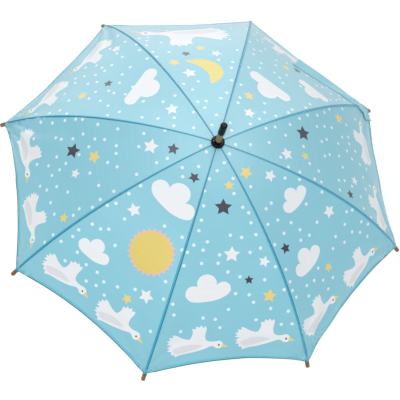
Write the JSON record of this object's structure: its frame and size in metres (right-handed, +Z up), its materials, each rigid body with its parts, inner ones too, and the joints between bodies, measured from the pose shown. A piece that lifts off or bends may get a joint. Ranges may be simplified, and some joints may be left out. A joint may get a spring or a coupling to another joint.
{
  "type": "children's umbrella",
  "caption": "Open children's stick umbrella: domed cloth canopy on hinged ribs and stretchers, sliding runner, wooden shaft and curved handle.",
  "frame": {"origin": "middle of the straight hand grip, on the shaft's axis", "axes": "+Z up the shaft towards the ferrule; +X over rib 1, and the side to which the crook turns"},
  "size_m": [0.8462, 0.8462, 0.698],
  "materials": {
    "shaft_wood": "satin varnish",
    "handle_wood": "satin varnish",
    "tip_wood": "satin varnish",
    "black_plastic": "gloss",
    "white_plastic": "semi-gloss",
    "collar_metal": "polished",
    "rib_steel": "satin",
    "canopy_cloth": "fine plain weave, printed",
    "strap_cloth": "fine plain weave"
  },
  "bodies": {
    "stick": {"shaft": "shaft_wood", "ferrule_cap": "black_plastic", "crown": "white_plastic", "crown_wire": "rib_steel", "crown_cap": "black_plastic", "cap_pin": "rib_steel", "handle": "handle_wood", "handle_collar": "collar_metal"},
    "arm_1": {"rib_inner_1": "rib_steel", "gore_1": "canopy_cloth"},
    "spring_1": {"rib_outer_1": "rib_steel", "tip_1": "tip_wood"},
    "strut_1": {"stretcher_1": "rib_steel"},
    "arm_2": {"rib_inner_2": "rib_steel", "gore_2": "canopy_cloth"},
    "spring_2": {"rib_outer_2": "rib_steel", "tip_2": "tip_wood", "strap": "strap_cloth"},
    "strut_2": {"stretcher_2": "rib_steel"},
    "arm_3": {"rib_inner_3": "rib_steel", "gore_3": "canopy_cloth"},
    "spring_3": {"rib_outer_3": "rib_steel", "tip_3": "tip_wood"},
    "strut_3": {"stretcher_3": "rib_steel"},
    "arm_4": {"rib_inner_4": "rib_steel", "gore_4": "canopy_cloth"},
    "spring_4": {"rib_outer_4": "rib_steel", "tip_4": "tip_wood"},
    "strut_4": {"stretcher_4": "rib_steel"},
    "arm_5": {"rib_inner_5": "rib_steel", "gore_5": "canopy_cloth"},
    "spring_5": {"rib_outer_5": "rib_steel", "tip_5": "tip_wood"},
    "strut_5": {"stretcher_5": "rib_steel"},
    "arm_6": {"rib_inner_6": "rib_steel", "gore_6": "canopy_cloth"},
    "spring_6": {"rib_outer_6": "rib_steel", "tip_6": "tip_wood"},
    "strut_6": {"stretcher_6": "rib_steel"},
    "arm_7": {"rib_inner_7": "rib_steel", "gore_7": "canopy_cloth"},
    "spring_7": {"rib_outer_7": "rib_steel", "tip_7": "tip_wood"},
    "strut_7": {"stretcher_7": "rib_steel"},
    "arm_8": {"rib_inner_8": "rib_steel", "gore_8": "canopy_cloth"},
    "spring_8": {"rib_outer_8": "rib_steel", "tip_8": "tip_wood"},
    "strut_8": {"stretcher_8": "rib_steel"},
    "slider": {"runner": "white_plastic", "runner_wire": "rib_steel"},
    "upper_catch": {"top_catch": "rib_steel"},
    "lower_catch": {"bottom_catch": "rib_steel"}
  },
  "joints": [
    {"name": "fold_1", "type": "hinge", "parent": "stick", "child": "arm_1", "pos_m": [0.00988, 0, 0.53135], "axis": [0, 1, 0], "range_deg": [0, 73.5], "deforming": ["gore_1"]},
    {"name": "flex_1", "type": "hinge", "parent": "arm_1", "child": "spring_1", "pos_m": [0.2056, 0, 0.49256], "axis": [0, 1, 0], "range_deg": [-18.5, 0]},
    {"name": "strut_hinge_1", "type": "hinge", "parent": "arm_1", "child": "strut_1", "pos_m": [0.19524, 0, 0.49165], "axis": [0, 1, 0], "range_deg": [-147, 0]},
    {"name": "fold_2", "type": "hinge", "parent": "stick", "child": "arm_2", "pos_m": [0.00699, 0.00699, 0.53135], "axis": [-0.7071, 0.7071, 0], "range_deg": [0, 73.5], "deforming": ["gore_2", "strap"]},
    {"name": "flex_2", "type": "hinge", "parent": "arm_2", "child": "spring_2", "pos_m": [0.14538, 0.14538, 0.49256], "axis": [-0.7071, 0.7071, 0], "range_deg": [-18.5, 0]},
    {"name": "strut_hinge_2", "type": "hinge", "parent": "arm_2", "child": "strut_2", "pos_m": [0.13806, 0.13806, 0.49165], "axis": [-0.7071, 0.7071, 0], "range_deg": [-147, 0]},
    {"name": "fold_3", "type": "hinge", "parent": "stick", "child": "arm_3", "pos_m": [0, 0.00988, 0.53135], "axis": [-1, 0, 0], "range_deg": [0, 73.5], "deforming": ["gore_3"]},
    {"name": "flex_3", "type": "hinge", "parent": "arm_3", "child": "spring_3", "pos_m": [0, 0.2056, 0.49256], "axis": [-1, 0, 0], "range_deg": [-18.5, 0]},
    {"name": "strut_hinge_3", "type": "hinge", "parent": "arm_3", "child": "strut_3", "pos_m": [0, 0.19524, 0.49165], "axis": [-1, 0, 0], "range_deg": [-147, 0]},
    {"name": "fold_4", "type": "hinge", "parent": "stick", "child": "arm_4", "pos_m": [-0.00699, 0.00699, 0.53135], "axis": [-0.7071, -0.7071, 0], "range_deg": [0, 73.5], "deforming": ["gore_4"]},
    {"name": "flex_4", "type": "hinge", "parent": "arm_4", "child": "spring_4", "pos_m": [-0.14538, 0.14538, 0.49256], "axis": [-0.7071, -0.7071, 0], "range_deg": [-18.5, 0]},
    {"name": "strut_hinge_4", "type": "hinge", "parent": "arm_4", "child": "strut_4", "pos_m": [-0.13806, 0.13806, 0.49165], "axis": [-0.7071, -0.7071, 0], "range_deg": [-147, 0]},
    {"name": "fold_5", "type": "hinge", "parent": "stick", "child": "arm_5", "pos_m": [-0.00988, 0, 0.53135], "axis": [0, -1, 0], "range_deg": [0, 73.5], "deforming": ["gore_5"]},
    {"name": "flex_5", "type": "hinge", "parent": "arm_5", "child": "spring_5", "pos_m": [-0.2056, 0, 0.49256], "axis": [0, -1, 0], "range_deg": [-18.5, 0]},
    {"name": "strut_hinge_5", "type": "hinge", "parent": "arm_5", "child": "strut_5", "pos_m": [-0.19524, 0, 0.49165], "axis": [0, -1, 0], "range_deg": [-147, 0]},
    {"name": "fold_6", "type": "hinge", "parent": "stick", "child": "arm_6", "pos_m": [-0.00699, -0.00699, 0.53135], "axis": [0.7071, -0.7071, 0], "range_deg": [0, 73.5], "deforming": ["gore_6"]},
    {"name": "flex_6", "type": "hinge", "parent": "arm_6", "child": "spring_6", "pos_m": [-0.14538, -0.14538, 0.49256], "axis": [0.7071, -0.7071, 0], "range_deg": [-18.5, 0]},
    {"name": "strut_hinge_6", "type": "hinge", "parent": "arm_6", "child": "strut_6", "pos_m": [-0.13806, -0.13806, 0.49165], "axis": [0.7071, -0.7071, 0], "range_deg": [-147, 0]},
    {"name": "fold_7", "type": "hinge", "parent": "stick", "child": "arm_7", "pos_m": [0, -0.00988, 0.53135], "axis": [1, 0, 0], "range_deg": [0, 73.5], "deforming": ["gore_7"]},
    {"name": "flex_7", "type": "hinge", "parent": "arm_7", "child": "spring_7", "pos_m": [0, -0.2056, 0.49256], "axis": [1, 0, 0], "range_deg": [-18.5, 0]},
    {"name": "strut_hinge_7", "type": "hinge", "parent": "arm_7", "child": "strut_7", "pos_m": [0, -0.19524, 0.49165], "axis": [1, 0, 0], "range_deg": [-147, 0]},
    {"name": "fold_8", "type": "hinge", "parent": "stick", "child": "arm_8", "pos_m": [0.00699, -0.00699, 0.53135], "axis": [0.7071, 0.7071, 0], "range_deg": [0, 73.5], "deforming": ["gore_8"]},
    {"name": "flex_8", "type": "hinge", "parent": "arm_8", "child": "spring_8", "pos_m": [0.14538, -0.14538, 0.49256], "axis": [0.7071, 0.7071, 0], "range_deg": [-18.5, 0]},
    {"name": "strut_hinge_8", "type": "hinge", "parent": "arm_8", "child": "strut_8", "pos_m": [0.13806, -0.13806, 0.49165], "axis": [0.7071, 0.7071, 0], "range_deg": [-147, 0]},
    {"name": "runner_hinge", "type": "hinge", "parent": "strut_1", "child": "slider", "pos_m": [0.00988, 0, 0.45196], "axis": [0, 1, 0], "range_deg": [0, 73.5]},
    {"name": "top_catch_press", "type": "hinge", "parent": "stick", "child": "upper_catch", "pos_m": [0.00296, 0.00122, 0.38346], "axis": [0.3827, -0.9239, 0], "range_deg": [0, 7], "stiffness_Nm_per_rad": 0.04},
    {"name": "bottom_catch_press", "type": "hinge", "parent": "stick", "child": "lower_catch", "pos_m": [0.00296, 0.00122, 0.14084], "axis": [-0.3827, 0.9239, 0], "range_deg": [0, 7], "stiffness_Nm_per_rad": 0.04}
  ],
  "couplings": [
    {"joint": "flex_1", "follows": "fold_1", "ratio": -0.25},
    {"joint": "strut_hinge_1", "follows": "fold_1", "ratio": -2},
    {"joint": "fold_2", "follows": "fold_1", "ratio": 1},
    {"joint": "flex_2", "follows": "fold_1", "ratio": -0.25},
    {"joint": "strut_hinge_2", "follows": "fold_1", "ratio": -2},
    {"joint": "fold_3", "follows": "fold_1", "ratio": 1},
    {"joint": "flex_3", "follows": "fold_1", "ratio": -0.25},
    {"joint": "strut_hinge_3", "follows": "fold_1", "ratio": -2},
    {"joint": "fold_4", "follows": "fold_1", "ratio": 1},
    {"joint": "flex_4", "follows": "fold_1", "ratio": -0.25},
    {"joint": "strut_hinge_4", "follows": "fold_1", "ratio": -2},
    {"joint": "fold_5", "follows": "fold_1", "ratio": 1},
    {"joint": "flex_5", "follows": "fold_1", "ratio": -0.25},
    {"joint": "strut_hinge_5", "follows": "fold_1", "ratio": -2},
    {"joint": "fold_6", "follows": "fold_1", "ratio": 1},
    {"joint": "flex_6", "follows": "fold_1", "ratio": -0.25},
    {"joint": "strut_hinge_6", "follows": "fold_1", "ratio": -2},
    {"joint": "fold_7", "follows": "fold_1", "ratio": 1},
    {"joint": "flex_7", "follows": "fold_1", "ratio": -0.25},
    {"joint": "strut_hinge_7", "follows": "fold_1", "ratio": -2},
    {"joint": "fold_8", "follows": "fold_1", "ratio": 1},
    {"joint": "flex_8", "follows": "fold_1", "ratio": -0.25},
    {"joint": "strut_hinge_8", "follows": "fold_1", "ratio": -2},
    {"joint": "runner_hinge", "follows": "fold_1", "ratio": 1}
  ]
}
